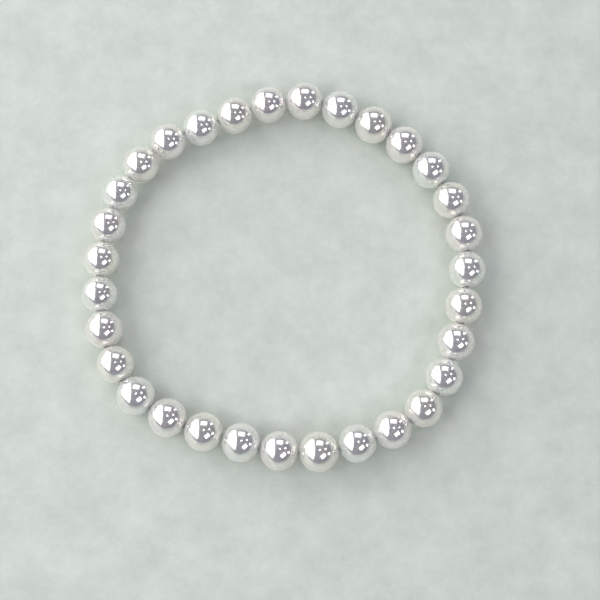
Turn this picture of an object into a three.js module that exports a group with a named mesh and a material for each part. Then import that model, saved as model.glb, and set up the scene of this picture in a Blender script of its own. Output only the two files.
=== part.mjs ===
// A pearl bracelet: a closed string of round pearls, each drilled through and touching the next,
// on one loop of elastic cord, lying flat as it is put down in a jewellery tray.
//
// Millimetres, +Z up. The origin is the middle of the bracelet's outline, on the surface that it lies on.
// +Y is the back of the loop and +X its right side.

import * as THREE from "three";

// ---------------------------------------------------------------- driving dimensions

const BORE_DIAMETER = 1.2; // hole drilled through each pearl along the thread
const CORD_DIAMETER = 0.5; // elastic cord, stretched thin by the pearls' own length
const PEARL_GAP = 0.02; // what keeps two neighbouring pearls from overlapping

const PEARL_SIDES = 16; // facets round the thread, even so that one of them faces straight down
const PEARL_RINGS = 9; // facets from one mouth of the bore to the other, odd so that one is level
const CORD_SIDES = 8;
const CORD_STEPS_PER_PEARL = 4;
const SPACING_PASSES = 6; // rounds of fitting the pearls' straight-line pitches to the curved thread
const CURVE_DIVISIONS = 2000; // how finely the thread's curve is measured

// The string in threading order, clockwise seen from above, starting with the pearl at the back.
// The pearls are sorted, but not exactly alike: they run in stretches of much the same size.
const STRING = [
  { stretch: "back right", pearls: 5, diameter: 6.05 },
  { stretch: "right side", pearls: 9, diameter: 5.95 },
  { stretch: "largest pearl", pearls: 1, diameter: 6.3 },
  { stretch: "front left", pearls: 5, diameter: 6.1 },
  { stretch: "left turn", pearls: 2, diameter: 5.9 },
  { stretch: "left side", pearls: 4, diameter: 5.7 },
  { stretch: "back left", pearls: 5, diameter: 5.85 },
];

// How the loop lies: the thread's reach from the middle, by bearing in degrees clockwise from the back.
// Only the shape counts, because the loop is scaled to the length of the string.
const LIE = [
  { bearing: 6, reach: 28.9 },
  { bearing: 46, reach: 29.1 },
  { bearing: 75, reach: 29.8 },
  { bearing: 105, reach: 29.4 },
  { bearing: 134, reach: 31.1 },
  { bearing: 166, reach: 29.3 },
  { bearing: 191, reach: 28.0 },
  { bearing: 228, reach: 30.4 },
  { bearing: 259, reach: 29.5 },
  { bearing: 296, reach: 29.4 },
  { bearing: 320, reach: 28.6 },
  { bearing: 331, reach: 27.5 },
];

// ---------------------------------------------------------------- finishes

const pearlNacre = new THREE.MeshStandardMaterial({ color: 0xe8e2da, roughness: 0.12, metalness: 0.15 });
const clearElastic = new THREE.MeshStandardMaterial({ color: 0xefeeea, roughness: 0.45, metalness: 0 });

// ---------------------------------------------------------------- the string of pearls

// The diameter of every pearl in threading order.
function pearlDiameters() {
  return STRING.flatMap((row) => Array(row.pearls).fill(row.diameter));
}

// A closed curve round the middle with the shape in LIE and the given length.
function lieCurve(length) {
  const points = LIE.map((row) => {
    const bearing = THREE.MathUtils.degToRad(row.bearing);
    return new THREE.Vector3(Math.sin(bearing), Math.cos(bearing), 0).multiplyScalar(row.reach);
  });
  const curve = new THREE.CatmullRomCurve3(points, true, "centripetal");
  curve.arcLengthDivisions = CURVE_DIVISIONS;
  const scale = length / curve.getLength();
  points.forEach((point) => point.multiplyScalar(scale));
  curve.updateArcLengths();
  return curve;
}

// The pearls' centres along the thread, given the curved length from each to the next.
// Every pearl stands on the surface, so its centre is as high as its radius.
function centresAlongLie(diameters, arcs) {
  const length = sum(arcs);
  const curve = lieCurve(length);
  let travelled = 0;
  return diameters.map((diameter, index) => {
    const centre = curve.getPointAt(travelled / length).setZ(diameter / 2);
    travelled += arcs[index];
    return centre;
  });
}

// Where each pearl's centre stands and which way its bore runs, with the pearls touching all the way round.
// Pearls touch along straight lines and not along the curve, so the curved lengths are corrected in rounds.
function threadPearls(diameters) {
  const pitches = diameters.map((diameter, index) => (diameter + after(diameters, index)) / 2 + PEARL_GAP);
  let arcs = pitches;
  let centres = centresAlongLie(diameters, arcs);
  for (let pass = 0; pass < SPACING_PASSES; pass += 1) {
    const chords = centres.map((centre, index) => centre.distanceTo(after(centres, index)));
    arcs = arcs.map((arc, index) => (arc * pitches[index]) / chords[index]);
    centres = centresAlongLie(diameters, arcs);
  }
  return diameters.map((diameter, index) => {
    const along = after(centres, index).clone().sub(before(centres, index));
    return { diameter, centre: centres[index], heading: Math.atan2(along.y, along.x) };
  });
}

// Neighbours on the closed string.
function after(list, index) {
  return list[(index + 1) % list.length];
}

function before(list, index) {
  return list[(index + list.length - 1) % list.length];
}

function sum(lengths) {
  return lengths.reduce((total, length) => total + length, 0);
}

// A drilled pearl about its own thread axis, +Y, as a ring of facets closed by the wall of its bore.
// The level facets touch the true sphere, so the one underneath carries the pearl at its real height.
function pearlGeometry(diameter) {
  const radius = diameter / 2;
  const mouthAngle = Math.asin(BORE_DIAMETER / diameter);
  const ringAngle = (Math.PI - 2 * mouthAngle) / PEARL_RINGS;
  const girth = radius / (Math.cos(ringAngle / 2) * Math.cos(Math.PI / PEARL_SIDES));

  const profile = [];
  for (let ring = 0; ring <= PEARL_RINGS; ring += 1) {
    const angle = mouthAngle + ring * ringAngle;
    profile.push(new THREE.Vector2(girth * Math.sin(angle), -radius * Math.cos(angle)));
  }
  profile.push(profile[0].clone());
  return new THREE.LatheGeometry(profile, PEARL_SIDES, Math.PI / PEARL_SIDES);
}

function makePearl(spot, index) {
  const pearl = new THREE.Mesh(pearlGeometry(spot.diameter), pearlNacre);
  pearl.name = `pearl_${String(index + 1).padStart(2, "0")}`;
  pearl.position.copy(spot.centre);
  pearl.rotation.z = spot.heading - Math.PI / 2;
  return pearl;
}

// ---------------------------------------------------------------- the elastic cord

// The middle of a bore's mouth: ahead of the pearl's centre for side 1, behind it for side -1.
function mouth(spot, side) {
  const heading = new THREE.Vector3(Math.cos(spot.heading), Math.sin(spot.heading), 0);
  return heading.multiplyScalar((side * spot.diameter) / 2).add(spot.centre);
}

// The cord's way: through the middle of each pearl, then half way between its mouth and the next one.
function cordStops(spots) {
  return spots.flatMap((spot, index) => [
    spot.centre,
    mouth(spot, 1).lerp(mouth(after(spots, index), -1), 0.5),
  ]);
}

// One endless loop through every bore. Its knot is pulled into a bore, out of sight, and is left out.
function makeElasticCord(spots) {
  const route = new THREE.CatmullRomCurve3(cordStops(spots), true, "centripetal");
  const steps = spots.length * CORD_STEPS_PER_PEARL;
  const cord = new THREE.Mesh(
    new THREE.TubeGeometry(route, steps, CORD_DIAMETER / 2, CORD_SIDES, true),
    clearElastic,
  );
  cord.name = "elastic_cord";
  return cord;
}

// ---------------------------------------------------------------- assembly

const spots = threadPearls(pearlDiameters());

const string = new THREE.Group();
string.add(...spots.map(makePearl));
string.add(makeElasticCord(spots));

// The origin goes to the middle of the outline. The heights are right already.
const outline = new THREE.Box3().setFromObject(string, true).getCenter(new THREE.Vector3());
string.position.set(-outline.x, -outline.y, 0);

const bracelet = new THREE.Group();
bracelet.add(string);

export default bracelet;
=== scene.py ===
"""A pearl bracelet: round drilled pearls on one loop of clear elastic cord, lying flat on a pale lining.

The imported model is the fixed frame: it gives each pearl its place, its size and the way its bore runs.
Every pearl is turned again here as a smooth, slightly uneven drilled bead with a nacre finish, and the
cord as a smooth tube. Lengths are in metres. +Z is up, +Y is the back of the loop and +X its right side.
"""

import logging
import math
from dataclasses import dataclass
from enum import Enum

import bpy
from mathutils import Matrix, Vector

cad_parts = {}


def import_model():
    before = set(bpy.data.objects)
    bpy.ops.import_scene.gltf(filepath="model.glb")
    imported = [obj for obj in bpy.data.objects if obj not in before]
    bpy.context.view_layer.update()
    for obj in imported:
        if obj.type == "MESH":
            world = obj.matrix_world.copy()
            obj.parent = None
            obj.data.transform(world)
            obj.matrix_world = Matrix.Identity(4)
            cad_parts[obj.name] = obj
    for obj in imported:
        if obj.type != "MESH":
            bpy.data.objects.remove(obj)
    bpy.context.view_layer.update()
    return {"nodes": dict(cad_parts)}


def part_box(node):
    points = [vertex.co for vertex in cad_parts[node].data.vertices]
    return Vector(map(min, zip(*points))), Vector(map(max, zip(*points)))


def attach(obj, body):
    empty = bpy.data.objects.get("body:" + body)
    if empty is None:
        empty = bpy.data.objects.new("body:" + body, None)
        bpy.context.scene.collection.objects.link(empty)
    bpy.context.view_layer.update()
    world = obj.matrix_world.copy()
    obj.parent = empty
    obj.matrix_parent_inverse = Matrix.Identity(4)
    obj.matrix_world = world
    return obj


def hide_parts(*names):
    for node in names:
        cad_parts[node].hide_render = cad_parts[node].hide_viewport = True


MM = 0.001
WELD_DISTANCE = 0.002 * MM  # points nearer than this are one point
FROM_THREAD = "from_thread"  # a pearl's attribute: how far each point is from the thread

# The sRGB curve: a straight toe, then a power of the shifted channel.
FULL_CHANNEL = 255
TOE_END = 0.04045
TOE_DIVISOR = 12.92
CURVE_SHIFT = 0.055
CURVE_POWER = 2.4

# A Mix node's sockets when it mixes colours.
MIX_FACTOR = 0
MIX_FIRST = 6
MIX_SECOND = 7
MIX_RESULT = 2

log = logging.getLogger("pearl_bracelet")


# ---------------------------------------------------------------- colour, nodes and finished meshes


def linear(hex_colour: str) -> tuple[float, float, float, float]:
    """Turns an sRGB hex colour into the linear colour that nodes and lights take.

    Args:
        hex_colour: six hex digits, such as "e8e2da".

    Returns:
        Red, green, blue and full opacity.
    """
    channels = []
    for at in (0, 2, 4):
        channel = int(hex_colour[at : at + 2], 16) / FULL_CHANNEL
        if channel <= TOE_END:
            channels.append(channel / TOE_DIVISOR)
        else:
            channels.append(((channel + CURVE_SHIFT) / (1 + CURVE_SHIFT)) ** CURVE_POWER)
    return (*channels, 1.0)


def add_node(
    tree: bpy.types.NodeTree, kind: str, settings: dict | None = None, inputs: dict | None = None
) -> bpy.types.Node:
    """Adds a node with its settings and what feeds it.

    Args:
        tree: the tree that the node goes into.
        kind: the node's type name.
        settings: the node's own properties, by name.
        inputs: a value, or an output socket to link from, by input name or index.

    Returns:
        The new node.
    """
    node = tree.nodes.new(kind)
    for name, value in (settings or {}).items():
        setattr(node, name, value)
    for key, value in (inputs or {}).items():
        if isinstance(value, bpy.types.NodeSocket):
            tree.links.new(value, node.inputs[key])
        else:
            node.inputs[key].default_value = value
    return node


def new_shape_tree(name: str, inputs: dict[str, str]) -> tuple[bpy.types.NodeTree, dict]:
    """Starts a Geometry Nodes tree with named inputs and one geometry output.

    Args:
        name: the tree's name.
        inputs: each input's socket type, by input name.

    Returns:
        The tree, and its input sockets by name.
    """
    tree = bpy.data.node_groups.new(name, "GeometryNodeTree")
    tree.interface.new_socket("Geometry", in_out="OUTPUT", socket_type="NodeSocketGeometry")
    for input_name, socket_type in inputs.items():
        tree.interface.new_socket(input_name, in_out="INPUT", socket_type=socket_type)
    outputs = add_node(tree, "NodeGroupInput").outputs
    return tree, {input_name: outputs[input_name] for input_name in inputs}


def finish_shape_tree(
    tree: bpy.types.NodeTree, shape: bpy.types.NodeSocket, finish: bpy.types.NodeSocket
) -> None:
    """Ends a tree with real, smooth-shaded geometry in its finish.

    Args:
        tree: the tree to end.
        shape: the geometry that the tree has made.
        finish: the material input.
    """
    smooth = add_node(tree, "GeometryNodeSetShadeSmooth", inputs={"Geometry": shape})
    real = add_node(tree, "GeometryNodeRealizeInstances", inputs={"Geometry": smooth.outputs[0]})
    dressed = add_node(
        tree, "GeometryNodeSetMaterial", inputs={"Geometry": real.outputs[0], "Material": finish}
    )
    add_node(tree, "NodeGroupOutput", inputs={"Geometry": dressed.outputs[0]})


def make_piece(
    name: str, tree: bpy.types.NodeTree, values: dict, start: bpy.types.Mesh | None = None
) -> bpy.types.Object:
    """Runs a tree once and keeps its result as a plain mesh object at the origin.

    Args:
        name: the piece's name.
        tree: the Geometry Nodes tree that makes it.
        values: the tree's inputs, by name.
        start: the mesh that the tree works on, where it needs one.

    Returns:
        The finished piece, with no modifier left on it.
    """
    piece = bpy.data.objects.new(name, start or bpy.data.meshes.new(name))
    bpy.context.scene.collection.objects.link(piece)
    modifier = piece.modifiers.new("shape", "NODES")
    modifier.node_group = tree
    for item in tree.interface.items_tree:
        if item.in_out == "INPUT" and item.name in values:
            modifier[item.identifier] = values[item.name]
    evaluated = piece.evaluated_get(bpy.context.evaluated_depsgraph_get())
    mesh = bpy.data.meshes.new_from_object(evaluated)
    piece.modifiers.remove(modifier)
    piece.data = mesh
    mesh.name = name
    return piece


# ---------------------------------------------------------------- finishes


class Overtone(Enum):
    """The tint that lies over a pearl's body colour."""

    CREAM = "cream"
    ROSE = "rose"
    SILVER = "silver"


@dataclass(frozen=True)
class NacreFinish:
    """Polished nacre over a bead: layers of aragonite platelets laid down by the oyster.

    The layers throw a soft metallic image of the room from just below the skin, and the polished skin
    adds a sharp one, so the lights show crisply inside a deep glow. The body shows faint clouds, and the
    lustre fades to the milky bead towards the drilled mouths, where the layers are worn thin: there is
    none until the first distance from the thread, and it is full from the second.
    """

    overtone: Overtone
    body: str
    cloud: str
    rim: str
    metallic: float = 0.63
    roughness: float = 0.13
    skin: float = 1.0
    skin_roughness: float = 0.06
    skin_ior: float = 1.55
    sheen: float = 1.0
    glow: float = 1.0
    glow_depth: float = 4.0 * MM
    glow_spread: tuple[float, float, float] = (1.0, 0.9, 0.8)
    thin_until: float = 0.7 * MM
    full_from: float = 2.1 * MM
    cloud_size: float = 2.2 * MM
    cloud_detail: float = 3.0
    cloud_roughness: float = 0.55
    cloud_starts: float = 0.35
    cloud_full: float = 0.7
    # The real growth steps are finer: they are drawn this coarse so that they show.
    ripple_size: float = 0.5 * MM
    ripple_height: float = 0.0006 * MM
    ripple_detail: float = 2.0

    def material(self) -> bpy.types.Material:
        """Builds the nacre material.

        Returns:
            The material, with clouds in its colour and a fine ripple in its skin.
        """
        material = bpy.data.materials.new(f"{self.overtone.value} nacre")
        material.use_nodes = True
        tree = material.node_tree
        shader = tree.nodes["Principled BSDF"]
        place = add_node(tree, "ShaderNodeTexCoord").outputs["Object"]

        clouds = add_node(
            tree,
            "ShaderNodeTexNoise",
            inputs={
                "Vector": place,
                "Scale": 1 / self.cloud_size,
                "Detail": self.cloud_detail,
                "Roughness": self.cloud_roughness,
            },
        )
        spread = add_node(
            tree,
            "ShaderNodeMapRange",
            {"interpolation_type": "SMOOTHSTEP"},
            {"Value": clouds.outputs["Fac"], "From Min": self.cloud_starts, "From Max": self.cloud_full},
        )
        colour = add_node(
            tree,
            "ShaderNodeMix",
            {"data_type": "RGBA"},
            {
                MIX_FACTOR: spread.outputs["Result"],
                MIX_FIRST: linear(self.body),
                MIX_SECOND: linear(self.cloud),
            },
        )
        ripple = add_node(
            tree,
            "ShaderNodeTexNoise",
            inputs={"Vector": place, "Scale": 1 / self.ripple_size, "Detail": self.ripple_detail},
        )
        bump = add_node(
            tree,
            "ShaderNodeBump",
            inputs={"Strength": 1.0, "Distance": self.ripple_height, "Height": ripple.outputs["Fac"]},
        )
        reach = add_node(tree, "ShaderNodeAttribute", {"attribute_name": FROM_THREAD})
        lustre = add_node(
            tree,
            "ShaderNodeMapRange",
            {"interpolation_type": "SMOOTHSTEP"},
            {
                "Value": reach.outputs["Fac"],
                "From Min": self.thin_until,
                "From Max": self.full_from,
                "To Max": self.metallic,
            },
        )
        tree.links.new(colour.outputs[MIX_RESULT], shader.inputs["Base Color"])
        tree.links.new(bump.outputs["Normal"], shader.inputs["Normal"])
        tree.links.new(lustre.outputs["Result"], shader.inputs["Metallic"])
        shader.inputs["Roughness"].default_value = self.roughness
        shader.inputs["Specular Tint"].default_value = linear(self.rim)
        shader.inputs["Subsurface Weight"].default_value = self.glow
        shader.inputs["Subsurface Radius"].default_value = self.glow_spread
        shader.inputs["Subsurface Scale"].default_value = self.glow_depth
        shader.inputs["Sheen Weight"].default_value = self.sheen
        shader.inputs["Sheen Tint"].default_value = linear(self.body)
        shader.inputs["Coat Weight"].default_value = self.skin
        shader.inputs["Coat Roughness"].default_value = self.skin_roughness
        shader.inputs["Coat IOR"].default_value = self.skin_ior
        return material


@dataclass(frozen=True)
class ElasticFinish:
    """Clear polyurethane elastic, extruded as one round filament: a soft, slightly cloudy glassy cord."""

    tint: str = "f1efe9"
    clear_roughness: float = 0.22
    hazy_roughness: float = 0.44
    transmission: float = 0.75
    ior: float = 1.5
    haze_length: float = 1.5 * MM
    haze_detail: float = 3.0

    def material(self) -> bpy.types.Material:
        """Builds the elastic's material.

        Returns:
            The material, with hazier stretches along its length.
        """
        material = bpy.data.materials.new("clear polyurethane elastic")
        material.use_nodes = True
        tree = material.node_tree
        shader = tree.nodes["Principled BSDF"]
        place = add_node(tree, "ShaderNodeTexCoord").outputs["Object"]
        stretches = add_node(
            tree,
            "ShaderNodeTexNoise",
            inputs={"Vector": place, "Scale": 1 / self.haze_length, "Detail": self.haze_detail},
        )
        haze = add_node(
            tree,
            "ShaderNodeMapRange",
            inputs={
                "Value": stretches.outputs["Fac"],
                "To Min": self.clear_roughness,
                "To Max": self.hazy_roughness,
            },
        )
        tree.links.new(haze.outputs["Result"], shader.inputs["Roughness"])
        shader.inputs["Base Color"].default_value = linear(self.tint)
        shader.inputs["IOR"].default_value = self.ior
        shader.inputs["Transmission Weight"].default_value = self.transmission
        return material


@dataclass(frozen=True)
class LiningFinish:
    """Sueded lining cloth, brushed to a short matt nap: pale, even, with very faint mottling.

    Where it runs up the wall it carries a painted glow: an emission that grows with height and lights the
    room as a lamp would.
    """

    light: str = "f5faf2"
    dark: str = "bdc8bc"
    roughness: float = 0.95
    shine: float = 0.15
    mottle_size: float = 7 * MM
    mottle_detail: float = 8.0
    mottle_roughness: float = 0.78
    # The real nap is finer: it is drawn this coarse so that it shows.
    nap_size: float = 0.35 * MM
    nap_height: float = 0.05 * MM
    nap_detail: float = 2.0
    nap_strength: float = 0.4
    painted_wall_glow: float = 0.33
    glow_height: float = 0.07

    def material(self) -> bpy.types.Material:
        """Builds the lining's material.

        Returns:
            The material, with mottling in its colour and a nap in its bump.
        """
        material = bpy.data.materials.new("sueded lining")
        material.use_nodes = True
        tree = material.node_tree
        shader = tree.nodes["Principled BSDF"]
        place = add_node(tree, "ShaderNodeTexCoord").outputs["Object"]
        mottle = add_node(
            tree,
            "ShaderNodeTexNoise",
            inputs={
                "Vector": place,
                "Scale": 1 / self.mottle_size,
                "Detail": self.mottle_detail,
                "Roughness": self.mottle_roughness,
            },
        )
        colour = add_node(
            tree,
            "ShaderNodeMix",
            {"data_type": "RGBA"},
            {
                MIX_FACTOR: mottle.outputs["Fac"],
                MIX_FIRST: linear(self.dark),
                MIX_SECOND: linear(self.light),
            },
        )
        nap = add_node(
            tree,
            "ShaderNodeTexNoise",
            inputs={"Vector": place, "Scale": 1 / self.nap_size, "Detail": self.nap_detail},
        )
        bump = add_node(
            tree,
            "ShaderNodeBump",
            inputs={
                "Strength": self.nap_strength,
                "Distance": self.nap_height,
                "Height": nap.outputs["Fac"],
            },
        )
        height = add_node(tree, "ShaderNodeSeparateXYZ", inputs={0: place})
        # Painted glow: emission that grows with height up the wall and stands in for light falling on it.
        glow = add_node(
            tree,
            "ShaderNodeMapRange",
            inputs={"Value": height.outputs["Z"], "From Max": self.glow_height, "To Max": self.painted_wall_glow},
        )
        tree.links.new(colour.outputs[MIX_RESULT], shader.inputs["Base Color"])
        tree.links.new(bump.outputs["Normal"], shader.inputs["Normal"])
        tree.links.new(glow.outputs["Result"], shader.inputs["Emission Strength"])
        shader.inputs["Emission Color"].default_value = linear(self.light)
        shader.inputs["Roughness"].default_value = self.roughness
        shader.inputs["Specular IOR Level"].default_value = self.shine
        return material


# ---------------------------------------------------------------- the string of pearls


@dataclass(frozen=True)
class PearlSeat:
    """Where one pearl sits on the string, as the frame gives it."""

    node: str
    centre: Vector
    diameter: float
    heading: float

    def mouth(self, side: int) -> Vector:
        """The middle of the bore's mouth: ahead of the pearl's centre for side 1, behind it for side -1."""
        ahead = Vector((math.cos(self.heading), math.sin(self.heading), 0.0))
        return self.centre + ahead * (side * self.diameter / 2)


def find_seats(nodes: list[str]) -> list[PearlSeat]:
    """Reads every pearl's seat from the frame, in threading order.

    Args:
        nodes: the names of the frame's nodes.

    Returns:
        One seat for each pearl. A bore runs in the direction from the pearl before to the pearl after.
    """
    names = sorted(name for name in nodes if name.startswith("pearl_"))
    boxes = [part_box(name) for name in names]
    centres = [(low + high) / 2 for low, high in boxes]
    seats = []
    for index, (name, (low, high)) in enumerate(zip(names, boxes)):
        along = centres[(index + 1) % len(names)] - centres[index - 1]
        seats.append(PearlSeat(name, centres[index], high.z - low.z, math.atan2(along.y, along.x)))
    return seats


@dataclass
class PearlString:
    """The drilled pearls in threading order, sorted but not exactly alike."""

    seats: list[PearlSeat]
    finishes: dict[Overtone, NacreFinish]
    bore: float = 1.2 * MM
    mouth_rounding: float = 0.08 * MM
    mouth_steps: int = 3
    sides: int = 96
    steps: int = 56
    unevenness: float = 0.02 * MM
    swell: float = 3.0 * MM
    swell_detail: float = 1.0

    def shape_tree(self) -> bpy.types.NodeTree:
        """Builds the rule for a drilled pearl: an arc closed by its bore's wall, turned about the thread.

        Returns:
            The tree. Its inputs are the pearl's sizes, its place and its finish.
        """
        tree, given = new_shape_tree(
            "drilled pearl",
            {
                "Diameter": "NodeSocketFloat",
                "Bore": "NodeSocketFloat",
                "Mouth Rounding": "NodeSocketFloat",
                "Mouth Steps": "NodeSocketInt",
                "Sides": "NodeSocketInt",
                "Steps": "NodeSocketInt",
                "Unevenness": "NodeSocketFloat",
                "Swell": "NodeSocketFloat",
                "Swell Detail": "NodeSocketFloat",
                "Seed": "NodeSocketFloat",
                "Centre": "NodeSocketVector",
                "Turn": "NodeSocketVector",
                "Finish": "NodeSocketMaterial",
            },
        )

        times = {"operation": "MULTIPLY"}
        over = {"operation": "DIVIDE"}
        radius = add_node(tree, "ShaderNodeMath", times, {0: given["Diameter"], 1: 0.5})
        bore_radius = add_node(tree, "ShaderNodeMath", times, {0: given["Bore"], 1: 0.5})
        # The arc runs from one mouth to the other, so the bore's share of the width sets its angles.
        share = add_node(tree, "ShaderNodeMath", over, {0: given["Bore"], 1: given["Diameter"]})
        half_sweep = add_node(tree, "ShaderNodeMath", {"operation": "ARCCOSINE"}, {0: share.outputs[0]})
        start = add_node(tree, "ShaderNodeMath", times, {0: half_sweep.outputs[0], 1: -1.0})
        sweep = add_node(tree, "ShaderNodeMath", times, {0: half_sweep.outputs[0], 1: 2.0})
        arc = add_node(
            tree,
            "GeometryNodeCurveArc",
            {"mode": "RADIUS"},
            {
                "Resolution": given["Steps"],
                "Radius": radius.outputs[0],
                "Start Angle": start.outputs[0],
                "Sweep Angle": sweep.outputs[0],
            },
        )
        closed = add_node(tree, "GeometryNodeSetSplineCyclic", inputs={0: arc.outputs[0], "Cyclic": True})
        at_mouth = add_node(tree, "GeometryNodeCurveEndpointSelection")
        fillet = add_node(
            tree, "ShaderNodeMath", times, {0: at_mouth.outputs[0], 1: given["Mouth Rounding"]}
        )
        rounded = add_node(
            tree,
            "GeometryNodeFilletCurve",
            {"mode": "POLY"},
            {
                "Curve": closed.outputs[0],
                "Count": given["Mouth Steps"],
                "Radius": fillet.outputs[0],
                "Limit Radius": True,
            },
        )
        # The profile is swept along the bore's edge, so its own zero line stands on the bore's wall.
        inwards = add_node(tree, "ShaderNodeMath", times, {0: bore_radius.outputs[0], 1: -1.0})
        aside = add_node(tree, "ShaderNodeCombineXYZ", inputs={"X": inwards.outputs[0]})
        profile = add_node(
            tree,
            "GeometryNodeTransform",
            inputs={"Geometry": rounded.outputs[0], "Translation": aside.outputs[0]},
        )
        edge = add_node(
            tree,
            "GeometryNodeCurvePrimitiveCircle",
            {"mode": "RADIUS"},
            {"Resolution": given["Sides"], "Radius": bore_radius.outputs[0]},
        )
        swept = add_node(
            tree,
            "GeometryNodeCurveToMesh",
            inputs={"Curve": edge.outputs[0], "Profile Curve": profile.outputs[0]},
        )
        welded = add_node(
            tree,
            "GeometryNodeMergeByDistance",
            inputs={"Geometry": swept.outputs[0], "Distance": WELD_DISTANCE},
        )
        # How far each point is from the thread, which still runs up the middle: the finish reads it.
        position = add_node(tree, "GeometryNodeInputPosition")
        across = add_node(
            tree, "ShaderNodeVectorMath", times, {0: position.outputs[0], 1: (1.0, 1.0, 0.0)}
        )
        reach = add_node(tree, "ShaderNodeVectorMath", {"operation": "LENGTH"}, {0: across.outputs[0]})
        marked = add_node(
            tree,
            "GeometryNodeStoreNamedAttribute",
            {"data_type": "FLOAT", "domain": "POINT"},
            {"Geometry": welded.outputs[0], "Name": FROM_THREAD, "Value": reach.outputs["Value"]},
        )
        # Growth is never even: the skin sinks a few microns here and there, and never stands proud.
        swells = add_node(tree, "ShaderNodeMath", over, {0: 1.0, 1: given["Swell"]})
        growth = add_node(
            tree,
            "ShaderNodeTexNoise",
            {"noise_dimensions": "4D"},
            {"W": given["Seed"], "Scale": swells.outputs[0], "Detail": given["Swell Detail"]},
        )
        depth = add_node(
            tree, "ShaderNodeMath", times, {0: growth.outputs["Fac"], 1: given["Unevenness"]}
        )
        down = add_node(tree, "ShaderNodeMath", times, {0: depth.outputs[0], 1: -1.0})
        normal = add_node(tree, "GeometryNodeInputNormal")
        sink = add_node(
            tree,
            "ShaderNodeVectorMath",
            {"operation": "SCALE"},
            {0: normal.outputs[0], "Scale": down.outputs[0]},
        )
        grown = add_node(
            tree,
            "GeometryNodeSetPosition",
            inputs={"Geometry": marked.outputs[0], "Offset": sink.outputs[0]},
        )
        seated = add_node(
            tree,
            "GeometryNodeTransform",
            inputs={
                "Geometry": grown.outputs[0],
                "Rotation": given["Turn"],
                "Translation": given["Centre"],
            },
        )
        finish_shape_tree(tree, seated.outputs[0], given["Finish"])
        return tree

    def build(self) -> list[bpy.types.Object]:
        """Turns every pearl in its seat and dresses it.

        Returns:
            One piece for each pearl, each standing for its node in the frame.
        """
        tree = self.shape_tree()
        # The overtones take turns along the string.
        materials = [finish.material() for finish in self.finishes.values()]
        pieces = []
        for number, seat in enumerate(self.seats, start=1):
            # The bead is made upright: it is laid down along the thread, then swung to its heading.
            values = {
                "Diameter": seat.diameter,
                "Bore": self.bore,
                "Mouth Rounding": self.mouth_rounding,
                "Mouth Steps": self.mouth_steps,
                "Sides": self.sides,
                "Steps": self.steps,
                "Unevenness": self.unevenness,
                "Swell": self.swell,
                "Swell Detail": self.swell_detail,
                "Seed": float(number),
                "Centre": seat.centre,
                "Turn": Vector((0.0, math.pi / 2, seat.heading)),
                "Finish": materials[number % len(materials)],
            }
            piece = make_piece(f"drilled_{seat.node}", tree, values)
            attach(piece, "root")
            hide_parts(seat.node)
            pieces.append(piece)
        return pieces


# ---------------------------------------------------------------- the elastic cord


@dataclass
class ElasticCord:
    """One endless loop of clear elastic through every bore, its knot hidden inside one of them."""

    seats: list[PearlSeat]
    finish: ElasticFinish
    node: str = "elastic_cord"
    diameter: float = 0.5 * MM
    sides: int = 16
    steps_between_stops: int = 6

    def route(self) -> bpy.types.Mesh:
        """Lays the cord's stops out as a closed loop of edges.

        Returns:
            A mesh with a stop in the middle of each pearl and one between its mouth and the next one.
        """
        stops = []
        for index, seat in enumerate(self.seats):
            following = self.seats[(index + 1) % len(self.seats)]
            stops += [seat.centre, (seat.mouth(1) + following.mouth(-1)) / 2]
        edges = [(index, (index + 1) % len(stops)) for index in range(len(stops))]
        mesh = bpy.data.meshes.new("cord route")
        mesh.from_pydata(stops, edges, [])
        return mesh

    def shape_tree(self) -> bpy.types.NodeTree:
        """Builds the rule for the cord: a round section swept along a smooth curve through the stops.

        Returns:
            The tree. Its inputs are the cord's sizes and its finish.
        """
        tree, given = new_shape_tree(
            "elastic cord",
            {
                "Route": "NodeSocketGeometry",
                "Diameter": "NodeSocketFloat",
                "Sides": "NodeSocketInt",
                "Steps": "NodeSocketInt",
                "Finish": "NodeSocketMaterial",
            },
        )
        line = add_node(tree, "GeometryNodeMeshToCurve", inputs={0: given["Route"]})
        smooth = add_node(
            tree, "GeometryNodeCurveSplineType", {"spline_type": "CATMULL_ROM"}, {0: line.outputs[0]}
        )
        fine = add_node(
            tree,
            "GeometryNodeSetSplineResolution",
            inputs={0: smooth.outputs[0], "Resolution": given["Steps"]},
        )
        radius = add_node(
            tree, "ShaderNodeMath", {"operation": "MULTIPLY"}, {0: given["Diameter"], 1: 0.5}
        )
        section = add_node(
            tree,
            "GeometryNodeCurvePrimitiveCircle",
            {"mode": "RADIUS"},
            {"Resolution": given["Sides"], "Radius": radius.outputs[0]},
        )
        swept = add_node(
            tree,
            "GeometryNodeCurveToMesh",
            inputs={"Curve": fine.outputs[0], "Profile Curve": section.outputs[0]},
        )
        finish_shape_tree(tree, swept.outputs[0], given["Finish"])
        return tree

    def build(self) -> bpy.types.Object:
        """Draws the cord through the pearls and dresses it.

        Returns:
            The cord's piece, standing for its node in the frame.
        """
        values = {
            "Diameter": self.diameter,
            "Sides": self.sides,
            "Steps": self.steps_between_stops,
            "Finish": self.finish.material(),
        }
        piece = make_piece("clear_elastic_loop", self.shape_tree(), values, self.route())
        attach(piece, "root")
        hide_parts(self.node)
        return piece


# ---------------------------------------------------------------- the studio


def towards(bearing: float, elevation: float) -> Vector:
    """Gives the direction of something seen from the bracelet.

    Args:
        bearing: degrees clockwise from the back of the loop, seen from above.
        elevation: degrees above the floor.

    Returns:
        A unit vector that points there.
    """
    turn = math.radians(bearing)
    rise = math.radians(elevation)
    return Vector((math.sin(turn) * math.cos(rise), math.cos(turn) * math.cos(rise), math.sin(rise)))


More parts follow.
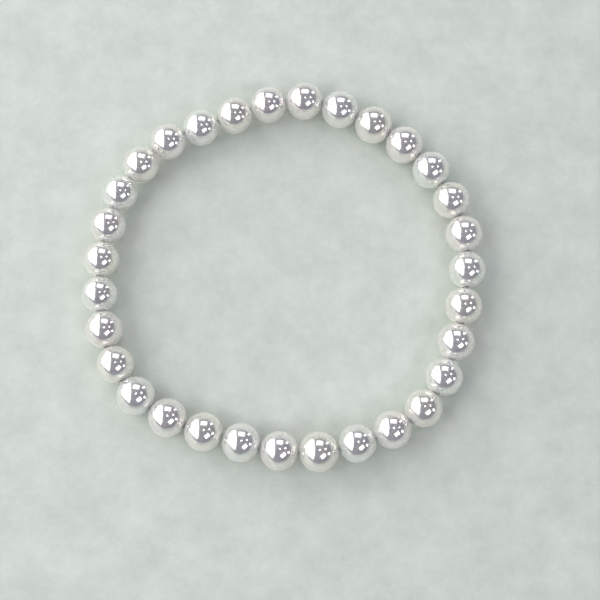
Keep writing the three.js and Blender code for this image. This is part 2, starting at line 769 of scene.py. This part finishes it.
@dataclass(frozen=True)
class Softbox:
    """A flat light that faces the bracelet, given by where it hangs and how wide and high it looks.

    The bearing, the elevation, the width and the height are in degrees, as the bracelet sees them.
    """

    name: str
    bearing: float
    elevation: float
    width: float
    height: float
    radiance: float
    distance: float = 0.7
    colour: str = "ffffff"

    def build(self) -> None:
        """Hangs the light. Its power is what gives a flat light of its size the stated radiance."""
        light = bpy.data.lights.new(self.name, "AREA")
        light.shape = "RECTANGLE"
        light.size = 2 * self.distance * math.tan(math.radians(self.width / 2))
        light.size_y = 2 * self.distance * math.tan(math.radians(self.height / 2))
        light.color = linear(self.colour)[:3]
        light.energy = self.radiance * math.pi * light.size * light.size_y
        lamp = bpy.data.objects.new(self.name, light)
        away = towards(self.bearing, self.elevation)
        lamp.location = away * self.distance
        lamp.rotation_euler = away.to_track_quat("Z", "Y").to_euler()
        lamp.visible_camera = False
        bpy.context.scene.collection.objects.link(lamp)


@dataclass(frozen=True)
class Window:
    """The main light: a tall window beside the bracelet, given by its outline as the bracelet sees it."""

    outline: tuple[tuple[float, float], ...]
    radiance: float
    distance: float = 0.7
    colour: str = "ffffff"

    def build(self) -> None:
        """Fills the outline with a glowing pane."""
        corners = [towards(bearing, elevation) * self.distance for bearing, elevation in self.outline]
        middle = sum(corners, Vector()) / len(corners)
        mesh = bpy.data.meshes.new("window pane")
        count = len(corners)
        faces = [(count, index, (index + 1) % count) for index in range(count)]
        mesh.from_pydata([*corners, middle], [], faces)
        glow = bpy.data.materials.new("window glow")
        glow.use_nodes = True
        tree = glow.node_tree
        tree.nodes.clear()
        light = add_node(
            tree, "ShaderNodeEmission", inputs={"Color": linear(self.colour), "Strength": self.radiance}
        )
        add_node(tree, "ShaderNodeOutputMaterial", inputs={"Surface": light.outputs[0]})
        mesh.materials.append(glow)
        pane = bpy.data.objects.new("window_pane", mesh)
        pane.visible_camera = False
        pane.visible_shadow = False
        bpy.context.scene.collection.objects.link(pane)


@dataclass(frozen=True)
class Viewpoint:
    """The camera: nearly overhead, a hand's length above the bracelet, aimed a little to its front.

    It stands at the azimuth in degrees, from the front towards the right, and at the elevation above the
    floor, at the distance from the point that it is aimed at.
    """

    azimuth: float = 0.9
    elevation: float = 78.9
    distance: float = 0.2
    lens: float = 75.0
    aim: tuple[float, float, float] = (2.6 * MM, -4.6 * MM, 3.0 * MM)
    nearest: float = 10 * MM

    def build(self) -> None:
        """Places the camera and makes it the scene's own."""
        camera = bpy.data.objects.new("camera", bpy.data.cameras.new("camera"))
        camera.data.lens = self.lens
        camera.data.clip_start = self.nearest
        turn = math.radians(self.azimuth)
        rise = math.radians(self.elevation)
        back = Vector((math.sin(turn) * math.cos(rise), -math.cos(turn) * math.cos(rise), math.sin(rise)))
        camera.location = Vector(self.aim) + back * self.distance
        camera.rotation_euler = back.to_track_quat("Z", "Y").to_euler()
        bpy.context.scene.collection.objects.link(camera)
        bpy.context.scene.camera = camera


@dataclass
class Studio:
    """A pale floor that curves up into a low wall all round, a dim room above it, and its lights.

    The rings are how far the flat floor's inner edges are from its middle.
    """

    lining: LiningFinish
    window: Window
    softboxes: list[Softbox]
    rings: tuple[float, ...] = (0.05, 0.12, 0.3, 0.8)
    floor_radius: float = 1.5
    curve_radius: float = 0.09
    wall_height: float = 0.38
    sides: int = 96
    curve_steps: int = 10
    room: str = "544d6e"
    room_strength: float = 0.67

    def floor_profile(self) -> list[tuple[float, float]]:
        """Draws the floor's section, from the middle out and up the wall.

        Returns:
            Reach and height of each point.
        """
        profile = [(reach, 0.0) for reach in (*self.rings, self.floor_radius - self.curve_radius)]
        for step in range(1, self.curve_steps + 1):
            angle = math.pi / 2 * step / self.curve_steps
            reach = self.floor_radius - self.curve_radius * (1 - math.sin(angle))
            profile.append((reach, self.curve_radius * (1 - math.cos(angle))))
        return [*profile, (self.floor_radius, self.wall_height)]

    def build_floor(self) -> None:
        """Turns the floor's section into the floor and its wall."""
        profile = self.floor_profile()
        points = [(0.0, 0.0, 0.0)]
        for reach, height in profile:
            for side in range(self.sides):
                angle = 2 * math.pi * side / self.sides
                points.append((reach * math.cos(angle), reach * math.sin(angle), height))
        faces = []
        for side in range(self.sides):
            following = (side + 1) % self.sides
            faces.append((0, 1 + side, 1 + following))
            for ring in range(len(profile) - 1):
                inner = 1 + ring * self.sides
                outer = inner + self.sides
                faces.append((inner + side, outer + side, outer + following, inner + following))
        mesh = bpy.data.meshes.new("lined floor")
        mesh.from_pydata(points, [], faces)
        mesh.polygons.foreach_set("use_smooth", [True] * len(mesh.polygons))
        mesh.materials.append(self.lining.material())
        floor = bpy.data.objects.new("lined_floor", mesh)
        bpy.context.scene.collection.objects.link(floor)

    def build(self) -> None:
        """Lays the floor, dims the room and hangs the lights."""
        self.build_floor()
        world = bpy.data.worlds.new("dim room")
        world.use_nodes = True
        background = world.node_tree.nodes["Background"]
        background.inputs["Color"].default_value = linear(self.room)
        background.inputs["Strength"].default_value = self.room_strength
        bpy.context.scene.world = world
        bpy.context.scene.view_settings.view_transform = "Standard"
        self.window.build()
        for softbox in self.softboxes:
            softbox.build()


# ---------------------------------------------------------------- the whole scene

NACRE = {
    Overtone.CREAM: NacreFinish(Overtone.CREAM, body="f9f7ee", cloud="f1eee2", rim="fbf9f2"),
    Overtone.ROSE: NacreFinish(Overtone.ROSE, body="f9f5f0", cloud="f2ece7", rim="fbf7f4"),
    Overtone.SILVER: NacreFinish(Overtone.SILVER, body="f6f7f1", cloud="edefe8", rim="f9faf6"),
}

# The window's corners, each by its bearing and its elevation.
WINDOW = Window(
    outline=(
        (337, 19),
        (300, 65),
        (219, 52),
        (213, 30),
        (246, 24),
        (264, 13),
        (277, 1),
        (322, 1),
        (330, 6),
    ),
    radiance=2.1,
)

SOFTBOXES = [
    Softbox("back softbox", bearing=5, elevation=43, width=36, height=30, radiance=1.65),
    Softbox("front softbox", bearing=139, elevation=50, width=28, height=20, radiance=3.4),
    Softbox("back right strip", bearing=46, elevation=21, width=9, height=18, radiance=2.4),
    Softbox("top lamp", bearing=50, elevation=83, width=8, height=8, radiance=4.5),
    Softbox("right lamp", bearing=75, elevation=50, width=8, height=8, radiance=4.5),
    Softbox("low right strip", bearing=103, elevation=28, width=10, height=12, radiance=3.8),
    Softbox("pale left wall", bearing=232, elevation=11, width=46, height=18, radiance=0.3),
]


def main() -> None:
    """Builds the bracelet, then the studio around it, and notes the sizes."""
    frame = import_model()
    seats = find_seats(list(frame["nodes"]))
    for piece in PearlString(seats, NACRE).build():
        log.info("%s: %d faces", piece.name, len(piece.data.polygons))
    cord = ElasticCord(seats, ElasticFinish()).build()
    log.info("%s: %d faces", cord.name, len(cord.data.polygons))
    Studio(LiningFinish(), WINDOW, SOFTBOXES).build()
    Viewpoint().build()


if __name__ == "__main__":
    logging.basicConfig(level=logging.INFO, format="%(message)s")
    main()
